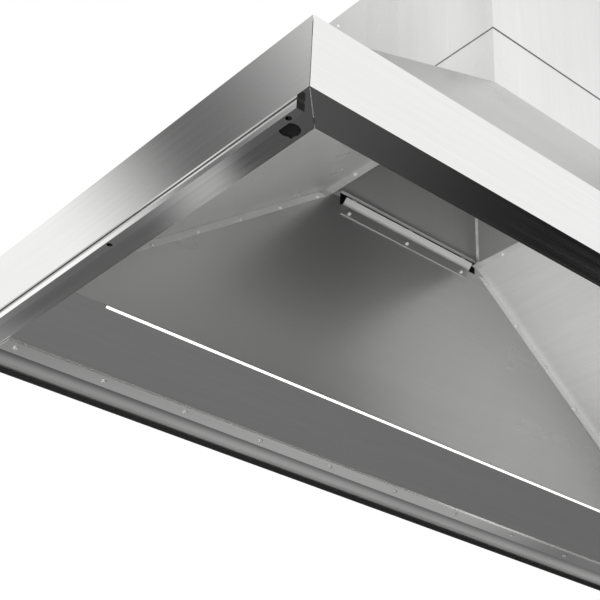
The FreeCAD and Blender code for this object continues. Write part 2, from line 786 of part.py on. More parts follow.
def make_light():
    """Lens in the trough wall's notch, its lamp board, and the bar behind them."""
    low = "(trough_length - lens_height + seam_gap / 4)"
    top = "trough_length"
    lens = new_body("light_lens")
    lens_corners = [slant(low, "-lens_proud"), slant(top, "-lens_proud"), slant(top, "lens_depth"),
                    slant(low, "lens_depth")]
    pad(lens, "YZ_Plane", lens_corners, f"{LENS_LENGTH} - seam_gap", symmetric=True)
    node("light_lens", lens)
    board = new_body("lamp_board")
    back = "(lens_depth + board_thickness)"
    board_corners = [slant(low, "lens_depth"), slant(top, "lens_depth"), slant(top, back), slant(low, back)]
    pad(board, "YZ_Plane", board_corners, f"{LENS_LENGTH} - 2 * light_bar_width", symmetric=True)
    node("lamp_board", board)
    bar = new_body("light_bar")
    low = "(trough_length - light_bar_width)"
    step = "(trough_length - lens_height - seam_gap)"
    far = "(sheet_wall + light_bar_depth)"
    bar_corners = [slant(low, "sheet_wall"), slant(step, "sheet_wall"), slant(step, back),
                   slant(top, back), slant(top, far), slant(low, far)]
    pad(bar, "YZ_Plane", bar_corners, LENS_LENGTH, symmetric=True)
    node("light_bar", bar)


# --------------------------------------------------------------------------
# Side rails under the rim
# --------------------------------------------------------------------------
def rail_holes():
    middle = f"{RAIL_OUT} + rail_width / 2"
    first = f"({FRONT} + rail_front + rail_hole_inset)"
    return [(middle, f"{first} + {i} * {RAIL_PITCH}") for i in range(int(SIZES["rail_hole_count"]))]


def make_rails():
    rail = new_body("left_rail")
    section = rectangle(RAIL_OUT, RAIL_LOW, f"{RAIL_OUT} + rail_width", RAIL_TOP)
    pad(rail, "XZ_Plane", section, RAIL_LENGTH, offset="rail_rear")
    cut_holes(rail, "XY_Plane", rail_holes(), SMALL_HOLE, "4 * rail_height")
    cut_holes(rail, "XY_Plane", rail_holes(), "rail_recess_radius", "2 * rail_recess_depth", RAIL_LOW)
    node("left_rail", rail)
    node("right_rail", mirrored("right_rail", rail))
    gasket = new_body("left_rail_gasket")
    section = rectangle(f"{RAIL_OUT} + rail_gasket_inset", RAIL_TOP,
                        f"{RAIL_OUT} + rail_width - rail_gasket_inset", "0")
    pad(gasket, "XZ_Plane", section, RAIL_LENGTH, offset="rail_rear")
    cut_holes(gasket, "XY_Plane", rail_holes(), SMALL_HOLE, "4 * rail_gasket")
    node("left_rail_gasket", gasket)
    node("right_rail_gasket", mirrored("right_rail_gasket", gasket))


# --------------------------------------------------------------------------
# Light switch in the left flange
# --------------------------------------------------------------------------
def key_place(shrink="0"):
    """Centre of the key notch, towards the middle of the hood."""
    reach = f"(key_reach - {shrink}) * sqrt(0.5)"
    return f"({SWITCH_X} + {reach})", f"({SWITCH_Y} + {reach})"


def make_switch():
    throat = "(button_radius + button_gap)"
    outer = "(switch_radius - switch_gap)"
    chamber = f"({outer} - switch_wall)"
    lid = "(switch_height - 2 * switch_wall)"
    x, y = SWITCH_X, SWITCH_Y
    key_x, key_y = key_place()
    shell = fuse("switch_shell", [
        cylinder("switch_barrel", outer, "switch_height - switch_recess", x, y, "switch_recess"),
        cylinder("switch_key", "key_radius - switch_gap", "sheet_wall - switch_recess", key_x, key_y,
                 "switch_recess"),
        cylinder("switch_flange", "switch_radius + switch_shoulder", "shoulder_height", x, y, "sheet_wall"),
    ])
    hollow = fuse("switch_hollow", [
        cylinder("switch_throat", throat, "button_throat + shoulder_height", x, y, "-shoulder_height"),
        cylinder("switch_chamber", chamber, f"{lid} - button_throat", x, y, "button_throat"),
    ])
    node("switch_body", cut("switch_body", shell, hollow))
    rim_low = "(button_throat + button_gap)"
    rim_top = f"({rim_low} + button_rim_height)"
    button = fuse("push_button", [
        cylinder("button_face", "button_radius", f"{rim_top} - switch_recess", x, y, "switch_recess"),
        cylinder("button_flange", f"{chamber} - button_gap", "button_rim_height", x, y, rim_low),
    ])
    node("push_button", button)
    spring = cut("button_spring",
                 cylinder("spring_outside", "spring_radius", f"{lid} - {rim_top} - 2 * button_gap", x, y,
                          f"{rim_top} + button_gap"),
                 cylinder("spring_inside", "spring_radius - spring_wall", "switch_height", x, y, rim_top))
    node("button_spring", spring)
    blades = []
    for side in ("-", "+"):
        middle = f"({x} {side} blade_spread)"
        blades.append(box("terminal_blade", f"{middle} - blade_thickness / 2", f"{y} - blade_width / 2",
                          "switch_height", f"{middle} + blade_thickness / 2", f"{y} + blade_width / 2",
                          "switch_height + blade_height"))
    group = doc.addObject("Part::Compound", "switch_terminals")
    group.Links = blades
    node("switch_terminals", group)


def make_switch_strap():
    """A strap over the switch, spot-welded to the flange at its two feet."""
    body = new_body("switch_strap")
    half = "(switch_radius + switch_shoulder + seam_gap)"
    level = "switch_height"
    corners = [
        (f"{SWITCH_Y} - {half} - strap_foot", "sheet_wall"), (f"{SWITCH_Y} - {half}", "sheet_wall"),
        (f"{SWITCH_Y} - {half}", level), (f"{SWITCH_Y} + {half}", level),
        (f"{SWITCH_Y} + {half}", "sheet_wall"), (f"{SWITCH_Y} + {half} + strap_foot", "sheet_wall"),
        (f"{SWITCH_Y} + {half} + strap_foot", "sheet_wall + strap_wall"),
        (f"{SWITCH_Y} + {half} + strap_wall", "sheet_wall + strap_wall"),
        (f"{SWITCH_Y} + {half} + strap_wall", f"{level} + strap_wall"),
        (f"{SWITCH_Y} - {half} - strap_wall", f"{level} + strap_wall"),
        (f"{SWITCH_Y} - {half} - strap_wall", "sheet_wall + strap_wall"),
        (f"{SWITCH_Y} - {half} - strap_foot", "sheet_wall + strap_wall"),
    ]
    pad(body, "YZ_Plane", corners, "strap_width", offset=f"{SWITCH_X} - strap_width / 2")
    node("switch_strap", body)


# --------------------------------------------------------------------------
# Chimney
# --------------------------------------------------------------------------
def channel_plan(side, front, rear, width):
    """Plan of a three-sided wall: outer side, outer front, rear end, and its width."""
    return [
        (f"-({side})", front), (side, front), (side, rear), (f"({side}) - ({width})", rear),
        (f"({side}) - ({width})", f"({front}) + ({width})"),
        (f"-({side}) + ({width})", f"({front}) + ({width})"), (f"-({side}) + ({width})", rear),
        (f"-({side})", rear),
    ]


def seat_screw_places():
    middle = "((foot_width + sheet_wall) / 2)"
    side = f"({CHIMNEY_SIDE} - {middle})"
    front = f"({CHIMNEY_FRONT} + {middle})"
    rear = f"({PANEL_IN} - seat_screw_rear)"
    right = [(side, rear), (side, f"{rear} - seat_screw_pitch"), ("(seat_screw_spread / 2)", front)]
    return right + flip(right)


def make_chimney():
    seat = new_body("chimney_seat")
    pad(seat, "XY_Plane", channel_plan(CHIMNEY_SIDE, CHIMNEY_FRONT, PANEL_IN, "seat_width"), "sheet_wall",
        offset="canopy_height")
    cut_holes(seat, "XY_Plane", seat_screw_places(), SCREW_HOLE, "4 * sheet_wall", "canopy_height")
    node("chimney_seat", seat)
    lower = new_body("lower_chimney_cover")
    base = "(canopy_height + sheet_wall)"
    pad(lower, "XY_Plane", channel_plan(CHIMNEY_SIDE, CHIMNEY_FRONT, METAL_REAR, "sheet_wall"),
        f"{OUTLET_LEVEL} - {base}", offset=base)
    pad(lower, "XY_Plane", channel_plan(CHIMNEY_SIDE, CHIMNEY_FRONT, PANEL_IN, "foot_width"), "sheet_wall",
        offset=base)
    cut_holes(lower, "XY_Plane", seat_screw_places(), SCREW_HOLE, "4 * sheet_wall", base)
    node("lower_chimney_cover", lower)
    upper = new_body("upper_chimney_cover")
    pad(upper, "XY_Plane",
        channel_plan(f"{COVER_SIDE} + sheet_wall", f"{COVER_FRONT} - sheet_wall", METAL_REAR, "sheet_wall"),
        "upper_cover_length", offset="chimney_top - upper_cover_length")
    cut_holes(upper, "YZ_Plane", [bracket_screw_place()], SMALL_HOLE, "2 * chimney_width")
    node("upper_chimney_cover", upper)


def bracket_screw_place():
    return "(-top_bracket_screw_reach)", "(chimney_top - top_bracket_drop - top_bracket_height / 2)"


def make_top_bracket():
    """A U-shaped wall bracket between the upper cover's sides."""
    body = new_body("chimney_bracket")
    ear = f"({COVER_SIDE} - top_bracket_wall)"
    corners = [
        (f"-{COVER_SIDE}", "0"), (f"-{COVER_SIDE}", "-top_bracket_ear"), (f"-{ear}", "-top_bracket_ear"),
        (f"-{ear}", "-top_bracket_wall"), (ear, "-top_bracket_wall"), (ear, "-top_bracket_ear"),
        (COVER_SIDE, "-top_bracket_ear"), (COVER_SIDE, "0"),
    ]
    low = "(chimney_top - top_bracket_drop - top_bracket_height)"
    pad(body, "XY_Plane", corners, "top_bracket_height", offset=low)
    level = f"({low} + top_bracket_height / 2)"
    cut_holes(body, "XZ_Plane", [(x, level) for x in spread("2", "top_bracket_hole_pitch")],
              "top_bracket_hole_radius", "4 * top_bracket_wall")
    cut_holes(body, "YZ_Plane", [bracket_screw_place()], SMALL_HOLE, "2 * chimney_width")
    node("chimney_bracket", body)


def make_flue_plate():
    """Closing plate behind the flue; a lip and three tabs stand over the cleat's leg."""
    side = f"({CHIMNEY_SIDE} - sheet_wall - seam_gap / 2)"
    tab_low = f"({CLEAT_BEND} - {PANEL_IN} * tan(cleat_angle * 1 deg) + tab_clearance)"
    corners = [(f"-{side}", "canopy_height"), (SLOT_LEFT, "canopy_height"), (SLOT_LEFT, SLOT_HIGH)]
    for x in spread("3", "tab_pitch", "tab_shift"):
        corners += [(f"{x} - tab_width / 2", SLOT_HIGH), (f"{x} - tab_width / 2", tab_low),
                    (f"{x} + tab_width / 2", tab_low), (f"{x} + tab_width / 2", SLOT_HIGH)]
    corners += [(SLOT_RIGHT, SLOT_HIGH), (SLOT_RIGHT, "canopy_height"), (side, "canopy_height"),
                (side, OUTLET_LEVEL), (f"-{side}", OUTLET_LEVEL)]
    body = new_body("flue_back_plate")
    pad(body, "XZ_Plane", corners, "sheet_wall", offset=f"-{PANEL_OUT}")
    lip = rectangle(SLOT_LEFT, SLOT_HIGH, SLOT_RIGHT, f"{SLOT_HIGH} + sheet_wall")
    pad(body, "XZ_Plane", lip, "slot_lip", offset=f"-{PANEL_OUT}")
    node("flue_back_plate", body)


def make_beads():
    """Sealant in the flue's rear corners, between the closing plate and the cover."""
    wall = f"({CHIMNEY_SIDE} - sheet_wall)"
    corners = [(f"-{wall}", PANEL_IN), (f"-{wall}", f"{PANEL_IN} - bead_width"),
               (f"-{wall} + bead_width", PANEL_IN)]
    body = new_body("left_flue_bead")
    base = "(canopy_height + 2 * sheet_wall)"
    pad(body, "XY_Plane", corners, f"{OUTLET_LEVEL} - {base}", offset=base)
    node("left_flue_bead", body)
    node("right_flue_bead", mirrored("right_flue_bead", body))


def make_slot_cap():
    """A pan behind the hanging slot; its back wall stays above the cleat's tip while the hood is hung."""
    side = f"({CHIMNEY_SIDE} - sheet_wall - seam_gap)"
    inner = f"({side} - sheet_wall)"
    top = f"({SLOT_HIGH} + slot_cap_rise)"
    wall = f"({METAL_REAR} - sheet_wall)"
    under = f"{SLOT_LOW} - sheet_wall"
    pan = cut("slot_pan", box("pan_outside", f"-{side}", PANEL_OUT, SLOT_LOW, side, METAL_REAR, top),
              box("pan_inside", f"-{inner}", f"{PANEL_OUT} - sheet_wall", under, inner, wall,
                  f"{top} - sheet_wall"))
    way = box("hanging_way", f"-{inner}", f"{wall} - sheet_wall", under, inner, "0", "canopy_height")
    node("slot_cap", cut("slot_cap", pan, way))


# --------------------------------------------------------------------------
# Duct outlet and its backdraft damper
# --------------------------------------------------------------------------
def make_outlet():
    bore = "(collar_radius - collar_wall)"
    under = f"{OUTLET_LEVEL} - plate_thickness"
    holes = fuse("outlet_holes", [
        cylinder("outlet_hole", bore, "4 * plate_thickness", "0", COLLAR_Y, under),
        cylinder("cable_hole", "gland_radius", "4 * plate_thickness", GLAND_X, GLAND_Y, under),
    ])
    sheet_metal = box("outlet_sheet", f"-{CHIMNEY_SIDE}", CHIMNEY_FRONT, OUTLET_LEVEL, CHIMNEY_SIDE,
                      PANEL_OUT, COLLAR_BASE)
    node("collar_plate", cut("collar_plate", sheet_metal, holes))
    outside = fuse("collar_outside", [
        cylinder("collar_tube", "collar_radius", "collar_height", "0", COLLAR_Y, COLLAR_BASE),
        cylinder("collar_foot", "collar_radius + collar_flange", "collar_wall", "0", COLLAR_Y, COLLAR_BASE),
    ])
    inside = fuse("collar_inside", [
        cylinder("collar_bore", bore, "collar_height + 2 * collar_wall", "0", COLLAR_Y,
                 f"{COLLAR_BASE} - collar_wall"),
        cylinder("pin_bore", "pin_radius + pin_clearance", "2 * collar_radius + 2 * collar_wall",
                 "-collar_radius - collar_wall", COLLAR_Y, PIN_LEVEL, "X"),
    ])
    node("duct_collar", cut("duct_collar", outside, inside))
    node("damper_pin", cylinder("damper_pin", "pin_radius", "2 * collar_radius - collar_wall",
                                "-collar_radius + collar_wall / 2", COLLAR_Y, PIN_LEVEL, "X"))
    stop_low = f"({PIN_LEVEL} - flap_drop - rest_gap - stop_thickness)"
    node("damper_stop", cut("damper_stop",
                            cylinder("stop_outside", bore, "stop_thickness", "0", COLLAR_Y, stop_low),
                            cylinder("stop_inside", f"{bore} - stop_width", "3 * stop_thickness", "0",
                                     COLLAR_Y, f"{stop_low} - stop_thickness")))


def make_flap(name, ahead):
    """One half-disc flap; ahead is -1 for the flap on the cook's side and 1 for the other."""
    radius = "(collar_radius - collar_wall - flap_gap)"
    low = f"({PIN_LEVEL} - flap_drop)"
    near = f"{COLLAR_Y} + {ahead} * flap_hinge_gap"
    far = f"{COLLAR_Y} + {ahead} * collar_radius"
    y0, y1 = (far, near) if ahead < 0 else (near, far)
    half = common(name + "_plate",
                  cylinder(name + "_disc", radius, "flap_thickness", "0", COLLAR_Y, low),
                  box(name + "_half", "-collar_radius", y0, f"{low} - flap_thickness", "collar_radius", y1,
                      f"{low} + 2 * flap_thickness"))
    shapes = [half]
    for x in spread("2", "knuckle_pitch", f"{ahead} * knuckle_shift / 2"):
        start = f"{x} - knuckle_length / 2"
        web = f"{COLLAR_Y} + {ahead} * (flap_hinge_gap + flap_thickness)"
        w0, w1 = (web, COLLAR_Y) if ahead < 0 else (COLLAR_Y, web)
        shapes.append(cylinder(name + "_knuckle", "knuckle_radius", "knuckle_length", start, COLLAR_Y,
                               PIN_LEVEL, "X"))
        shapes.append(box(name + "_web", start, w0, low, f"{start} + knuckle_length", w1,
                          f"{low} + flap_thickness"))
    bore = cylinder(name + "_bore", "pin_radius + pin_clearance", "2 * collar_radius", "-collar_radius",
                    COLLAR_Y, PIN_LEVEL, "X")
    node(name, cut(name, fuse(name + "_solid", shapes), bore))


# --------------------------------------------------------------------------
# Electrical box on the flue's left wall
# --------------------------------------------------------------------------
def lid_screw_places():
    return [(f"{BOX_NEAR} + lid_screw_inset", f"{BOX_LOW} + lid_screw_inset"),
            ("-box_reach - lid_screw_inset", f"{BOX_TOP} - lid_screw_inset")]


def make_box():
    case = cut("box_open",
               box("box_outside", BOX_WALL_SIDE, BOX_NEAR, BOX_LOW, BOX_INNER_SIDE, "-box_reach", BOX_TOP),
               box("box_inside", f"{BOX_WALL_SIDE} + box_wall", f"{BOX_NEAR} + box_wall",
                   f"{BOX_LOW} + box_wall", f"{BOX_INNER_SIDE} + box_wall", "-box_reach - box_wall",
                   f"{BOX_TOP} - box_wall"))
    hole = cylinder("box_hole", "gland_stem_radius", "4 * box_wall", GLAND_X, GLAND_Y,
                    f"{BOX_TOP} - 2 * box_wall")
    node("junction_box", cut("junction_box", case, hole))
    lid = new_body("junction_lid")
    pad(lid, "YZ_Plane", rectangle(BOX_NEAR, BOX_LOW, "-box_reach", BOX_TOP), "box_wall",
        offset=BOX_INNER_SIDE)
    cut_holes(lid, "YZ_Plane", lid_screw_places(), SMALL_HOLE, "4 * box_wall", BOX_INNER_SIDE)
    node("junction_lid", lid)
    gland = cut("cable_gland",
                fuse("gland_outside", [
                    cylinder("gland_nut", "gland_radius", "gland_height", GLAND_X, GLAND_Y, BOX_TOP),
                    cylinder("gland_stem", "gland_stem_radius - switch_gap", "3 * box_wall", GLAND_X, GLAND_Y,
                             f"{BOX_TOP} - 3 * box_wall")]),
                cylinder("gland_hole", "gland_bore", "2 * gland_height", GLAND_X, GLAND_Y,
                         f"{BOX_TOP} - gland_height / 2"))
    node("cable_gland", gland)


# --------------------------------------------------------------------------
# Fasteners
# --------------------------------------------------------------------------
def make_fasteners():
    small = ("small_screw_radius", "small_head_radius", "small_head_height")
    large = ("screw_radius", "screw_head_radius", "screw_head_height")
    tall = ("small_screw_radius", "cap_head_radius", "cap_head_height")
    strip = screw_blank("strip_screw", *large, "strip_thickness + 2 * sheet_wall + screw_tail")
    screw_group("trough_screws", strip, [(x, y, "-strip_thickness", UP) for x, y in trough_screw_places()])
    seat = screw_blank("seat_screw", *large, "2 * sheet_wall + screw_tail / 2")
    screw_group("seat_screws", seat, [(x, y, "canopy_height", UP) for x, y in seat_screw_places()])
    hip = screw_blank("hip_screw", *tall, "hip_strip_thickness + sheet_wall + screw_tail / 2")
    hip_seat = f"({PANEL_IN} - hip_strip_thickness)"
    screw_group("hip_screws", hip, [(x, hip_seat, z, TO_WALL) for x, z in hip_screw_places()])
    bar = screw_blank("stiffener_screw", *tall, "stiffener_thickness + sheet_wall + screw_tail / 2")
    bar_seat = f"({PANEL_IN} - stiffener_thickness)"
    screw_group("stiffener_screws", bar, [(x, bar_seat, z, TO_WALL) for x, z in stiffener_screw_places()])
    batten = screw_blank("batten_screw", *small, "2 * sheet_wall + screw_tail / 2")
    screw_group("batten_screws", batten, [(x, PANEL_IN, z, TO_WALL) for x, z in batten_screw_places()])
    rail = screw_blank("rail_screw", *small, "rail_height - rail_recess_depth + rail_gasket + screw_tail")
    rail_places = rail_holes() + flip(rail_holes())
    rail_seat = f"({RAIL_LOW} + rail_recess_depth)"
    screw_group("rail_screws", rail, [(x, y, rail_seat, UP) for x, y in rail_places])
    cover = screw_blank("cover_screw", *small, "sheet_wall + top_bracket_wall + screw_tail / 2")
    y, z = bracket_screw_place()
    outer = f"({COVER_SIDE} + sheet_wall)"
    screw_group("cover_screws", cover, [(f"-{outer}", y, z, TO_RIGHT), (outer, y, z, TO_LEFT)])
    lid = screw_blank("lid_screw", *small, "box_wall + screw_tail")
    lid_seat = f"({BOX_INNER_SIDE} + box_wall)"
    screw_group("lid_screws", lid, [(lid_seat, y, z, TO_LEFT) for y, z in lid_screw_places()])


# --------------------------------------------------------------------------
# Build, check and write
# --------------------------------------------------------------------------
def check_document():
    doc.recompute()
    for thing in doc.Objects:
        if "Invalid" in thing.State or "Error" in thing.State:
            raise RuntimeError("%s is %s" % (thing.Name, thing.State))
    for feature in cuts:
        before = feature.BaseFeature.Shape.Volume
        if feature.Shape.Volume > before - 1e-6:
            raise RuntimeError(feature.Name + " cuts nothing")
    for name, thing in nodes.items():
        if thing.Shape.isNull() or not thing.Shape.isValid() or not thing.Shape.Solids:
            raise RuntimeError(name + " has no valid solid")


def write_parts():
    os.makedirs("parts", exist_ok=True)
    for name, thing in nodes.items():
        thing.Shape.exportStep("parts/%s.step" % name)
        print("%-22s solids %2d  volume %10.0f" % (name, len(thing.Shape.Solids), thing.Shape.Volume))
    print(len(nodes), "nodes")


make_front_skirt()
make_left_skirt()
node("right_skirt", mirrored("right_skirt", make_side_skirt("side_skirt_blank")))
make_corner_bracket()
make_slopes()
make_back_panel()
make_hip_strips()
make_batten()
make_stiffener()
make_cleat()
make_trough()
make_trough_caps()
make_trough_strip()
make_light()
make_rails()
make_switch()
make_switch_strap()
make_chimney()
make_top_bracket()
make_flue_plate()
make_beads()
make_slot_cap()
make_outlet()
make_flap("front_flap", -1)
make_flap("rear_flap", 1)
make_box()
make_fasteners()
check_document()
write_parts()
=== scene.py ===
"""Looks of the wall canopy range hood: brushed steel sheet, trough light, switch and chimney.

Every built piece keeps its shape and gets a finish, and the push button's spring is wound as a coil.
A plain studio lights the hood, seen from the photograph's viewpoint. Lengths are in metres."""
import bpy
import math
from mathutils import Matrix, Vector


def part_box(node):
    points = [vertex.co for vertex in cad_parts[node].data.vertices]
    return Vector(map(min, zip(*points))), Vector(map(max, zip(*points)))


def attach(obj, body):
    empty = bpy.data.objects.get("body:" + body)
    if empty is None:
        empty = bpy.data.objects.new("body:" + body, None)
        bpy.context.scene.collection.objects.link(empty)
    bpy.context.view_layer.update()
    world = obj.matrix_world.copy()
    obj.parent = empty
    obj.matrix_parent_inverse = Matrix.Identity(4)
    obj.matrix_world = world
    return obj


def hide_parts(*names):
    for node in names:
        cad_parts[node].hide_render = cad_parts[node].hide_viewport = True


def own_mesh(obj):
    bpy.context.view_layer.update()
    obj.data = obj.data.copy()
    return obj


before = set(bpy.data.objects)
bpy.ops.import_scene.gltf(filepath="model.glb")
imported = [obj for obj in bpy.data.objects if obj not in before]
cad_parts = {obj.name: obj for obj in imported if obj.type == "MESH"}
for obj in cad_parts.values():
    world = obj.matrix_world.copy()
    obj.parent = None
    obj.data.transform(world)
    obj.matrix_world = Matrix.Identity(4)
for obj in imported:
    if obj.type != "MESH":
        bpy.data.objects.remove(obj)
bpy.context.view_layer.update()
bpy.ops.object.select_all(action="DESELECT")

MM = 0.001
ALONG_X, ALONG_Y, ALONG_Z = (1, 0, 0), (0, 1, 0), (0, 0, 1)


# --------------------------------------------------------------------------
# Nodes
# --------------------------------------------------------------------------
NOISE_LOW, NOISE_HIGH = 0.3, 0.7  # nearly all noise lies between these
MIX_FACTOR, MIX_FIRST, MIX_SECOND, MIX_RESULT = 0, 6, 7, 2  # the mix node's sockets for colours


def feed(links, socket, value):
    """Links an output to the socket, or sets it to a plain number or colour."""
    if isinstance(value, bpy.types.NodeSocket):
        links.new(value, socket)
    elif isinstance(value, tuple):
        socket.default_value = (*value, 1)
    else:
        socket.default_value = value


def change(tree, value, start, end, before=0.0, after=1.0, kind="SMOOTHSTEP"):
    """Goes from before to after while the value goes from start to end."""
    node = tree.nodes.new("ShaderNodeMapRange")
    node.interpolation_type = kind
    for socket, number in (("From Min", start), ("From Max", end), ("To Min", before), ("To Max", after)):
        node.inputs[socket].default_value = number
    tree.links.new(value, node.inputs["Value"])
    return node.outputs["Result"]


def toned(colour, factor, lift=0.0):
    """The colour made lighter or darker."""
    return tuple(min(1.0, part * factor + lift) for part in colour)


class Finish:
    """A node material that reads the object's own coordinates."""

    def __init__(self, name):
        self.material = bpy.data.materials.new(name)
        self.material.use_nodes = True
        self.tree = self.material.node_tree
        self.nodes, self.links = self.tree.nodes, self.tree.links
        self.shader = self.nodes["Principled BSDF"]
        self.place = self.nodes.new("ShaderNodeTexCoord").outputs["Object"]

    def set(self, **values):
        """Constant values straight on the shader's sockets."""
        for name, value in values.items():
            self.shader.inputs[name.replace("_", " ")].default_value = value
        return self

    def join(self, output, name):
        self.links.new(output, self.shader.inputs[name])

    def stretch(self, scale):
        """The object's coordinates scaled unevenly, so that a grain runs along one axis."""
        node = self.nodes.new("ShaderNodeMapping")
        node.inputs["Scale"].default_value = scale
        self.links.new(self.place, node.inputs["Vector"])
        return node.outputs["Vector"]

    def noise(self, scale, detail, rough=0.5, stretch=(1, 1, 1)):
        """Cloudy pattern: scale is its cells to a metre, and detail and rough are its finer layers."""
        node = self.nodes.new("ShaderNodeTexNoise")
        node.inputs["Scale"].default_value = scale
        node.inputs["Detail"].default_value = detail
        node.inputs["Roughness"].default_value = rough
        self.links.new(self.stretch(stretch), node.inputs["Vector"])
        return node.outputs["Fac"]

    def cells(self, scale):
        """Distance to the middle of round cells: scale is how many go to a metre."""
        node = self.nodes.new("ShaderNodeTexVoronoi")
        node.inputs["Scale"].default_value = scale
        self.links.new(self.place, node.inputs["Vector"])
        return node.outputs["Distance"]

    def ramp(self, value, first, last):
        """Colours between a first and a last stop, each a position and a colour."""
        node = self.nodes.new("ShaderNodeValToRGB")
        for element, (position, colour) in zip(node.color_ramp.elements, (first, last)):
            element.position = position
            element.color = (*colour, 1)
        self.links.new(value, node.inputs["Fac"])
        return node.outputs["Color"]

    def span(self, noise, low, high):
        """Brings noise to a range."""
        return change(self.tree, noise, NOISE_LOW, NOISE_HIGH, low, high, "LINEAR")

    def fade(self, axis, start, end):
        """Smooth change from 0 to 1 between two places along an axis of the object."""
        node = self.nodes.new("ShaderNodeSeparateXYZ")
        self.links.new(self.place, node.inputs[0])
        return change(self.tree, node.outputs[axis], start, end)

    def blend(self, factor, first, second):
        node = self.nodes.new("ShaderNodeMix")
        node.data_type = "RGBA"
        for number, item in ((MIX_FACTOR, factor), (MIX_FIRST, first), (MIX_SECOND, second)):
            feed(self.links, node.inputs[number], item)
        return node.outputs[MIX_RESULT]

    def bump(self, height, strength, depth):
        node = self.nodes.new("ShaderNodeBump")
        node.inputs["Strength"].default_value = strength
        node.inputs["Distance"].default_value = depth
        self.links.new(height, node.inputs["Height"])
        self.join(node.outputs["Normal"], "Normal")


# --------------------------------------------------------------------------
# Kinds of finish
# --------------------------------------------------------------------------
FINE, SOFT = 0.7 * MM, 6 * MM  # widths of a brushed stroke
STROKE_LENGTH, BAND_LENGTH = 0.16, 0.5
BAND_WIDTH = 9  # in strokes
PLASTIC_IOR = 1.49


def grain_scale(direction, length, width):
    """Cells this long along the grain and this wide across it."""
    return tuple(1 / length if along else 1 / width for along in direction)


def brushed_steel(name, colour, grain, rough, wear, smears=0.06, metal=1.0, painted_light=None, stroke=FINE):
    """Stainless sheet: strokes and wider bands along the grain, and faint smears from wiping.
    wear is how far the strokes' tone goes up and down, and smears how far the gloss does. metal below
    1 gives the dull haze of a sheet with cooking film. The tone ramp argument paints light or shade on
    the sheet: an axis, the two places between which the tone passes to another, and that tone. stroke is
    the width of the strokes."""
    steel = Finish(name).set(Metallic=metal)
    fine = steel.noise(1, 3, 0.6, stretch=grain_scale(grain, STROKE_LENGTH, stroke))
    coarse = steel.noise(1, 2, 0.5, stretch=grain_scale(grain, BAND_LENGTH, BAND_WIDTH * stroke))
    cloud = steel.noise(5, 3, 0.55)
    strokes = steel.blend(steel.span(fine, 0.0, 1.0), toned(colour, 1 - wear), toned(colour, 1 + wear))
    tone = steel.blend(steel.span(coarse, 0.0, 0.5), strokes, toned(colour, 1 - 1.4 * wear))
    # Painted light or shade: the base tone passes to another tone along one axis of the object
    if painted_light:
        axis, start, end, last = painted_light
        tone = steel.blend(steel.fade(axis, start, end), tone, last)
    steel.join(tone, "Base Color")
    gloss = steel.blend(0.5, steel.span(coarse, rough - 0.05, rough + 0.05),
                        steel.span(cloud, rough - smears, rough + smears))
    steel.join(gloss, "Roughness")
    steel.bump(fine, 0.05, 0.01 * MM)
    return steel.material


def plated_sheet(name):
    """Zinc-plated sheet: pale blue-grey with soft spangles and dull patches."""
    zinc = Finish(name).set(Metallic=0.9)
    cell = zinc.cells(130)
    spangle = zinc.blend(0.5, cell, zinc.noise(40, 3))
    zinc.join(zinc.ramp(spangle, (0.2, (0.50, 0.52, 0.54)), (0.6, (0.63, 0.65, 0.67))), "Base Color")
    zinc.join(zinc.span(zinc.noise(22, 4), 0.3, 0.5), "Roughness")
    zinc.bump(cell, 0.1, 0.1 * MM)
    return zinc.material


def turned_metal(name, colour, rough=0.25, shine=1.0):
    """Screws, pins and blades with a fine all-round tool mark. shine below 1 dulls them."""
    metal = Finish(name).set(Metallic=shine)
    mark = metal.noise(900, 3)
    metal.join(metal.blend(metal.span(mark, 0, 1), toned(colour, 0.86), colour), "Base Color")
    metal.join(metal.span(metal.noise(300, 2), rough - 0.07, rough + 0.1), "Roughness")
    metal.bump(mark, 0.2, 0.03 * MM)
    return metal.material


def moulded_plastic(name, colour, rough=0.45, texture=0.04 * MM, shine=0.5):
    """Moulded plastic or rubber with a fine spark-eroded texture and paler worn spots."""
    plastic = Finish(name).set(Metallic=0.0, IOR=PLASTIC_IOR, Specular_IOR_Level=shine)
    stipple = plastic.noise(2600, 2)
    worn = plastic.noise(90, 3)
    plastic.join(plastic.blend(plastic.span(worn, 0, 1), colour, toned(colour, 1.35, 0.002)), "Base Color")
    plastic.join(plastic.span(worn, rough - 0.1, rough + 0.1), "Roughness")
    plastic.bump(stipple, 0.3, texture)
    return plastic.material


def foam_rubber(name, colour):
    """Closed-cell foam: open skin with tiny pits."""
    foam = Finish(name).set(Metallic=0.0)
    cell = foam.cells(900)
    foam.join(foam.blend(cell, toned(colour, 0.6), colour), "Base Color")
    foam.join(foam.span(foam.noise(200, 3), 0.8, 0.95), "Roughness")
    foam.bump(cell, 0.5, 0.3 * MM)
    return foam.material


def glowing_lens(name):
    """Opal strip lens, lit evenly from behind by its lamp board."""
    lens = Finish(name).set(Metallic=0.0, Roughness=0.35, IOR=PLASTIC_IOR, Emission_Strength=0.95)
    milk = lens.noise(60, 2, 0.5, (0.2, 1, 1))
    lens.join(lens.blend(lens.span(milk, 0, 1), (0.36, 0.36, 0.355), (0.42, 0.42, 0.42)), "Base Color")
    lens.join(lens.blend(lens.span(milk, 0, 1), (0.97, 0.97, 0.96), (1.0, 1.0, 1.0)), "Emission Color")
    return lens.material


def green_board(name):
    """Lamp board with a faint weave under its solder mask."""
    board = Finish(name).set(Metallic=0.0)
    weave = board.noise(800, 2)
    board.join(board.blend(board.span(weave, 0, 1), (0.02, 0.13, 0.06), (0.03, 0.2, 0.09)), "Base Color")
    board.join(board.span(weave, 0.3, 0.45), "Roughness")
    return board.material


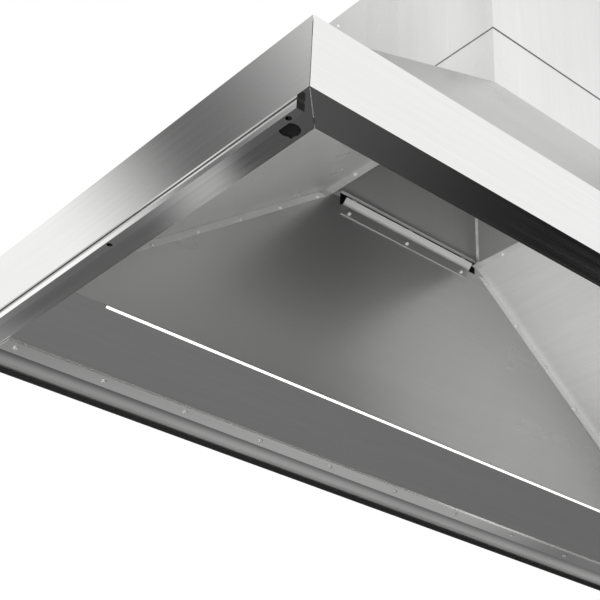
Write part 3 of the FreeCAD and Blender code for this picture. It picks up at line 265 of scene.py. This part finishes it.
def studio_paint(name):
    """Pale matt paint, very slightly mottled."""
    pale = Finish(name).set(Roughness=0.8)
    mottle = pale.span(pale.noise(2, 3), 0, 1)
    pale.join(pale.blend(mottle, (0.8, 0.8, 0.8), (0.83, 0.83, 0.83)), "Base Color")
    return pale.material


# --------------------------------------------------------------------------
# Finish of each piece
# --------------------------------------------------------------------------
finishes = {
    "rim_front": brushed_steel("brushed steel, front rim", (0.86, 0.86, 0.855), ALONG_X,
                               rough=0.12, wear=0.02, smears=0.02),
    "rim_side": brushed_steel("brushed steel, side rim", (0.86, 0.86, 0.855), ALONG_Y,
                              rough=0.07, wear=0.025, smears=0.02),
    "slope": brushed_steel("brushed steel, slopes", (0.82, 0.82, 0.815), ALONG_X,
                           rough=0.24, wear=0.025, stroke=SOFT),
    "side_slope": brushed_steel("brushed steel, side slopes", (0.84, 0.84, 0.835), ALONG_Y,
                                rough=0.24, wear=0.025, stroke=SOFT),
    "chimney": brushed_steel("brushed steel, chimney", (0.88, 0.88, 0.875), ALONG_Z,
                             rough=0.26, wear=0.015, stroke=SOFT),
    # Lit and shaded copies of one hazed steel for the inside faces: painted light and shade, paler on the
    # right slope and darker on the left slope and in the flue
    "left_inside": brushed_steel("hazed steel, left inside, painted shade", (0.68, 0.68, 0.67), ALONG_X,
                                 rough=0.3, wear=0.02, metal=0.5, stroke=SOFT),
    "front_inside": brushed_steel("hazed steel, front inside", (0.8, 0.8, 0.79), ALONG_X,
                                  rough=0.3, wear=0.02, metal=0.75, stroke=SOFT),
    "right_inside": brushed_steel("hazed steel, right inside, painted light", (0.92, 0.92, 0.91), ALONG_Y,
                                  rough=0.3, wear=0.03, metal=0.6, stroke=SOFT),
    "flue_inside": brushed_steel("hazed steel, flue inside, painted shade", (0.5, 0.5, 0.495), ALONG_Z,
                                 rough=0.34, wear=0.02, metal=0.4, stroke=SOFT),
    # Painted light: the back panel's tone is lighter towards its left, where more light reaches it
    "panel": brushed_steel("hazed steel, back panel", (0.54, 0.54, 0.535), ALONG_X,
                           rough=0.3, wear=0.02, metal=0.85, stroke=SOFT,
                           painted_light=("X", -0.1, -0.5, (0.85, 0.85, 0.84))),
    # Painted shadow: the flange's tone darkens towards the trough strip's rear edge, where the strip's
    # shade lies
    "panel_flange": brushed_steel("brushed steel, panel flange", (0.9, 0.9, 0.895), ALONG_X,
                                  rough=0.2, wear=0.03, stroke=SOFT,
                                  painted_light=("Y", -0.026, -0.054, (0.2, 0.2, 0.2))),
    "trough": brushed_steel("brushed steel, trough", (0.47, 0.475, 0.47), ALONG_X,
                            rough=0.3, wear=0.03, stroke=SOFT),
    # Painted reflection: the strip's tone darkens towards its right, standing for the darker reflection
    # there
    "strip": brushed_steel("brushed steel, strips", (0.93, 0.93, 0.925), ALONG_X,
                           rough=0.16, wear=0.03, smears=0.03, stroke=SOFT,
                           painted_light=("X", 0.05, 0.33, (0.36, 0.36, 0.36))),
    "batten": brushed_steel("brushed steel, batten", (0.95, 0.95, 0.945), ALONG_X,
                            rough=0.3, wear=0.03, stroke=SOFT),
    "hip": brushed_steel("bright steel strips", (0.93, 0.93, 0.92), ALONG_X,
                         rough=0.4, wear=0.03, metal=0.7, stroke=SOFT),
    "rail": brushed_steel("satin rail", (0.97, 0.97, 0.965), ALONG_Y, rough=0.1, wear=0.02, smears=0.03),
    # Painted shade: the rails' front end faces are near black, for the shade on them
    "rail_end": brushed_steel("rail end, painted shade", (0.07, 0.07, 0.07), ALONG_X, rough=0.3, wear=0.03),
    "stiffener": brushed_steel("hazed steel, stiffener", (0.42, 0.42, 0.415), ALONG_X,
                               rough=0.34, wear=0.02, metal=0.7, stroke=SOFT),
    "cleat": brushed_steel("pale bare steel, cleat", (0.72, 0.72, 0.71), ALONG_X,
                           rough=0.4, wear=0.03, metal=0.45, stroke=SOFT),
    "flap": brushed_steel("thin flap sheet", (0.74, 0.745, 0.75), ALONG_X, rough=0.35, wear=0.03),
    "zinc": plated_sheet("zinc plated sheet"),
    "screw": turned_metal("bright screw steel", (0.62, 0.62, 0.61)),
    "pale_screw": turned_metal("pale screw steel", (0.92, 0.92, 0.91), rough=0.35, shine=0.3),
    "grey_screw": turned_metal("grey screw steel", (0.34, 0.34, 0.335), rough=0.35, shine=0.5),
    # Painted shade: the rail screws are near black, for the shade in the rails' recesses
    "dark_screw": turned_metal("near-black screw steel, painted recess shade", (0.12, 0.12, 0.12), rough=0.4),
    "spring": turned_metal("spring wire", (0.55, 0.55, 0.54)),
    "brass": turned_metal("brass blade", (0.78, 0.6, 0.28)),
    "foam": foam_rubber("black foam", (0.012, 0.012, 0.012)),
    "gasket": moulded_plastic("rubber gasket", (0.03, 0.03, 0.031), rough=0.7, texture=0.08 * MM),
    # Painted highlight: the flue's corner beads are pale to stand for the bright line along the corners
    "bead": moulded_plastic("pale bead, painted corner highlight", (0.62, 0.62, 0.61), rough=0.4, texture=0.08 * MM),
    # Painted shade: the slot cap is near black so that it stands for the deep shade in the slot
    "slot_shade_black": moulded_plastic("near-black pan, painted slot shade", (0.012, 0.012, 0.012), rough=0.6),
    "switch": moulded_plastic("black switch moulding", (0.004, 0.004, 0.004), shine=0.05),
    "button": moulded_plastic("black push button", (0.004, 0.004, 0.004), rough=0.4, shine=0.07),
    "gland": moulded_plastic("black gland nylon", (0.02, 0.02, 0.021), rough=0.5),
    "lens": glowing_lens("opal lens"),
    "lens_edge": moulded_plastic("opal lens edge", (0.5, 0.5, 0.49), rough=0.4),
    "board": green_board("lamp board"),
}
# Pieces that aren't named here are of zinc-plated sheet.
piece_finish = {
    "front_skirt": "rim_front", "left_skirt": "rim_side", "right_skirt": "rim_side",
    "front_slope": "slope", "left_slope": "side_slope", "right_slope": "side_slope",
    "back_panel": "panel", "left_hip_strip": "hip", "right_hip_strip": "hip",
    # The slot cap carries the painted shade of the slot
    "slot_stiffener": "stiffener", "slot_cap": "slot_shade_black", "wall_cleat": "cleat", "wall_batten": "batten",
    "rear_trough": "trough", "left_trough_cap": "trough", "right_trough_cap": "trough",
    "trough_strip": "strip", "light_lens": "lens", "lamp_board": "board", "wall_seal": "foam",
    "chimney_seat": "hip", "lower_chimney_cover": "chimney", "upper_chimney_cover": "chimney",
    "flue_back_plate": "flue_inside", "left_flue_bead": "bead", "right_flue_bead": "bead",
    "left_rail": "rail", "right_rail": "rail",
    "left_rail_gasket": "gasket", "right_rail_gasket": "gasket",
    "switch_body": "switch", "push_button": "button", "button_spring": "spring",
    "switch_terminals": "brass", "cable_gland": "gland",
    "front_flap": "flap", "rear_flap": "flap", "damper_pin": "screw",
    "trough_screws": "grey_screw", "seat_screws": "pale_screw", "hip_screws": "pale_screw",
    "stiffener_screws": "pale_screw", "cover_screws": "pale_screw",
    "batten_screws": "screw", "lid_screws": "screw", "rail_screws": "dark_screw",
}
FLUE_AXIS_Y = -0.15


def paint(piece, finish):
    piece.data.materials.clear()
    piece.data.materials.append(finishes[finish])


def paint_side(name, finish, belongs):
    """Gives some faces of a built piece a finish of their own, chosen by their middle and normal."""
    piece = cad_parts[name]
    piece.data.materials.append(finishes[finish])
    for face in piece.data.polygons:
        if belongs(face.center, face.normal):
            face.material_index = len(piece.data.materials) - 1


def looks_down(place, normal):
    return normal.z < -0.05


def looks_straight_down(place, normal):
    return normal.z < -0.98


def looks_ahead(place, normal):
    return normal.y < -0.9


def is_off_the_front(place, normal):
    return normal.y > -0.7


def looks_at_flue_axis(place, normal):
    """The covers stand round the upright line at x = 0 and this y."""
    return place.x * normal.x + (place.y - FLUE_AXIS_Y) * normal.y < 0


for name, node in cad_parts.items():
    paint(node, piece_finish.get(name, "zinc"))
# The back panel's flat underside takes the flange finish, with its painted shadow behind the trough strip
paint_side("back_panel", "panel_flange", looks_straight_down)
paint_side("slot_stiffener", "hip", looks_straight_down)
# The rails' front end faces get the painted shade finish
paint_side("left_rail", "rail_end", looks_ahead)
paint_side("right_rail", "rail_end", looks_ahead)
paint_side("light_lens", "lens_edge", is_off_the_front)
# The inside faces of the slopes and chimney covers get these painted light and shade copies of the steel
paint_side("front_slope", "front_inside", looks_down)
paint_side("left_slope", "left_inside", looks_down)
paint_side("right_slope", "right_inside", looks_down)
paint_side("lower_chimney_cover", "flue_inside", looks_at_flue_axis)
paint_side("upper_chimney_cover", "flue_inside", looks_at_flue_axis)


# --------------------------------------------------------------------------
# Wound spring of the push button
# --------------------------------------------------------------------------
def make_button_coil(wire=0.6 * MM, turns=8):
    """Coil of round wire in the built spring's place, above the button. wire is the wire's radius."""
    low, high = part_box("button_spring")
    middle = (low + high) / 2
    height = high[2] - low[2]
    radius = (high[0] - low[0]) / 2 - wire
    sides, steps = 12, 24  # round the wire, and round each turn
    bpy.ops.mesh.primitive_circle_add(vertices=sides, radius=wire, location=(radius, 0, 0),
                                      rotation=(math.pi / 2, 0, 0))
    coil = bpy.context.object
    coil.name = "button_coil"
    bpy.ops.object.transform_apply(location=True, rotation=True, scale=True)
    winding = coil.modifiers.new("winding", "SCREW")
    winding.axis = "Z"
    winding.screw_offset = (height - 2 * wire) / turns
    winding.iterations = turns
    winding.steps = winding.render_steps = steps
    bpy.ops.object.modifier_apply(modifier=winding.name)
    bpy.ops.object.mode_set(mode="EDIT")
    bpy.ops.mesh.select_all(action="SELECT")
    bpy.ops.mesh.remove_doubles(threshold=0.001 * MM)
    bpy.ops.mesh.fill_holes(sides=sides)
    bpy.ops.mesh.select_all(action="SELECT")
    bpy.ops.mesh.normals_make_consistent(inside=False)
    bpy.ops.transform.translate(value=(middle[0], middle[1], low[2] + wire))
    bpy.ops.object.mode_set(mode="OBJECT")
    bpy.ops.object.shade_smooth_by_angle(angle=math.radians(40))
    paint(coil, "spring")
    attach(coil, "hood")
    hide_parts("button_spring")
    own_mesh(coil)
    bpy.ops.object.select_all(action="DESELECT")


make_button_coil()


# --------------------------------------------------------------------------
# Studio: floor, light and camera
# --------------------------------------------------------------------------
FLOOR_SIZE, FLOOR_HEIGHT = 40, -3.2  # low enough for the views that look up at the hood


def make_floor():
    bpy.ops.mesh.primitive_plane_add(size=FLOOR_SIZE, location=(0, 0, FLOOR_HEIGHT))
    floor = bpy.context.object
    floor.name = "studio_floor"
    floor.data.materials.append(studio_paint("pale studio floor"))
    floor.visible_glossy = False


def make_world():
    """White behind the hood, even soft light on it, and in its steel a pale studio that is dim below
    and towards the wall. x, y and z are the direction that a mirrored ray takes, and each tone is for
    one part of that studio: 1 is white and 0 is black."""
    world = bpy.data.worlds.new("studio")
    bpy.context.scene.world = world
    world.use_nodes = True
    tree = world.node_tree
    nodes, links = tree.nodes, tree.links
    nodes.clear()
    split = nodes.new("ShaderNodeSeparateXYZ")
    links.new(nodes.new("ShaderNodeTexCoord").outputs["Generated"], split.inputs[0])
    x, y, z = split.outputs
    path = nodes.new("ShaderNodeLightPath")

    def fade(value, start, end, before=0.0, after=1.0):
        return change(tree, value, start, end, before, after)

    def combine(operation, first, second):
        node = nodes.new("ShaderNodeMath")
        node.operation = operation
        feed(links, node.inputs[0], first)
        feed(links, node.inputs[1], second)
        return node.outputs[0]

    def both(first, second):
        return combine("ADD", first, second)

    def part(first, second):
        return combine("MULTIPLY", first, second)

    def without(first, second):
        return combine("SUBTRACT", first, second)

    def mix(factor, first, second):
        return both(part(first, without(1.0, factor)), part(second, factor))

    def glow(strength):
        node = nodes.new("ShaderNodeBackground")
        feed(links, node.inputs["Color"], (1, 1, 1))
        feed(links, node.inputs["Strength"], strength)
        return node.outputs[0]

    def choose(ray, otherwise, chosen):
        node = nodes.new("ShaderNodeMixShader")
        for socket, value in zip(node.inputs, (path.outputs[ray], otherwise, chosen)):
            links.new(value, socket)
        return node.outputs[0]

    # Below and ahead of the hood, on either side
    front_right = both(fade(y, -0.38, -0.28, 0.32, 0.2), fade(y, -0.72, -0.64, 0.16, 0.0))
    front_left = part(fade(y, -0.64, -0.55, 0.15, 0.45), fade(y, -0.52, -0.38, 1.0, 0.33))
    low_front = mix(fade(x, -0.1, 0.1), front_left, front_right)
    # Below and towards the wall: dark, with a bright glint in the side flange
    glint = part(fade(y, 0.66, 0.683, 0.0, 0.36), fade(y, 0.688, 0.725, 1.0, 0.0))
    wall_foot = both(fade(x, 0.48, 0.66, 0.085, 0.01), fade(y, 0.66, 0.72, 0.0, 0.03))
    wall_foot = both(both(wall_foot, glint), fade(x, -0.2, 0.2, 0.5, 0.0))
    low_back = mix(fade(z, -0.475, -0.44), wall_foot, 0.375)
    low = mix(fade(y, 0.1, 0.4), low_front, low_back)
    # Above: white, but for a grey band in the left fascia and a grey ceiling over the slopes
    left_band = part(fade(y, 0.5, 0.675), fade(y, 0.68, 0.765, 1.0, 0.0))
    left_band = part(left_band, fade(x, -0.25, -0.05, 0.84, 0.0))
    ceiling = both(fade(y, -0.45, -0.37, 0.0, 0.33), fade(y, 0.0, 0.3, 0.0, 0.22))
    ceiling = part(ceiling, fade(y, 0.40, 0.47, 1.0, 0.0))
    high = without(without(1.0, left_band), ceiling)
    mirrored = mix(fade(z, -0.25, 0.1), low, high)

    light = choose("Is Glossy Ray", glow(0.55), glow(mirrored))
    out = nodes.new("ShaderNodeOutputWorld")
    links.new(choose("Is Camera Ray", light, glow(1.0)), out.inputs["Surface"])


def make_lamp(name, place, aim, size, watts, spread=math.pi):
    """A round soft lamp that lights the hood without showing in its steel."""
    bpy.ops.object.light_add(type="AREA", location=place)
    lamp = bpy.context.object
    lamp.name = name
    lamp.data.shape = "DISK"
    lamp.data.size = size
    lamp.data.energy = watts
    lamp.data.spread = spread
    lamp.visible_glossy = False
    lamp.visible_camera = False
    lamp.rotation_euler = (Vector(aim) - Vector(place)).to_track_quat("-Z", "Y").to_euler()


def make_camera():
    """The photograph's viewpoint, low at the front left, looking up."""
    right = Vector((0.76388, -0.64382, 0.04443))
    down = Vector((0.35215, 0.35814, -0.86471))
    forward = Vector((0.54081, 0.67619, 0.50030))
    place = Vector((-1331.5, -1408.5, -747.0)) * MM
    focal_pixels, picture_pixels, sensor = 1330, 600, 36
    turn = Matrix((right, -down, -forward)).transposed().to_4x4()
    bpy.ops.object.camera_add()
    camera = bpy.context.object
    camera.matrix_world = Matrix.Translation(place) @ turn
    camera.data.sensor_width = sensor
    camera.data.lens = focal_pixels / picture_pixels * sensor
    camera.data.clip_start = 10 * MM
    bpy.context.scene.camera = camera


make_floor()
make_world()
make_lamp("key", place=(-1.6, -2.6, 2.2), aim=(0, -0.3, 0.3), size=1.8, watts=25)
make_lamp("fill", place=(2.4, -2.0, 0.6), aim=(0, -0.3, 0.2), size=1.8, watts=12)
make_lamp("under", place=(0.3, -0.9, -1.2), aim=(-0.1, -0.25, 0.3), size=1.8, watts=14)
make_lamp("low left", place=(-1.8, -0.6, -0.7), aim=(0.3, -0.2, 0.25), size=1.2, watts=29, spread=2.0)
make_camera()
bpy.context.scene.view_settings.view_transform = "Standard"
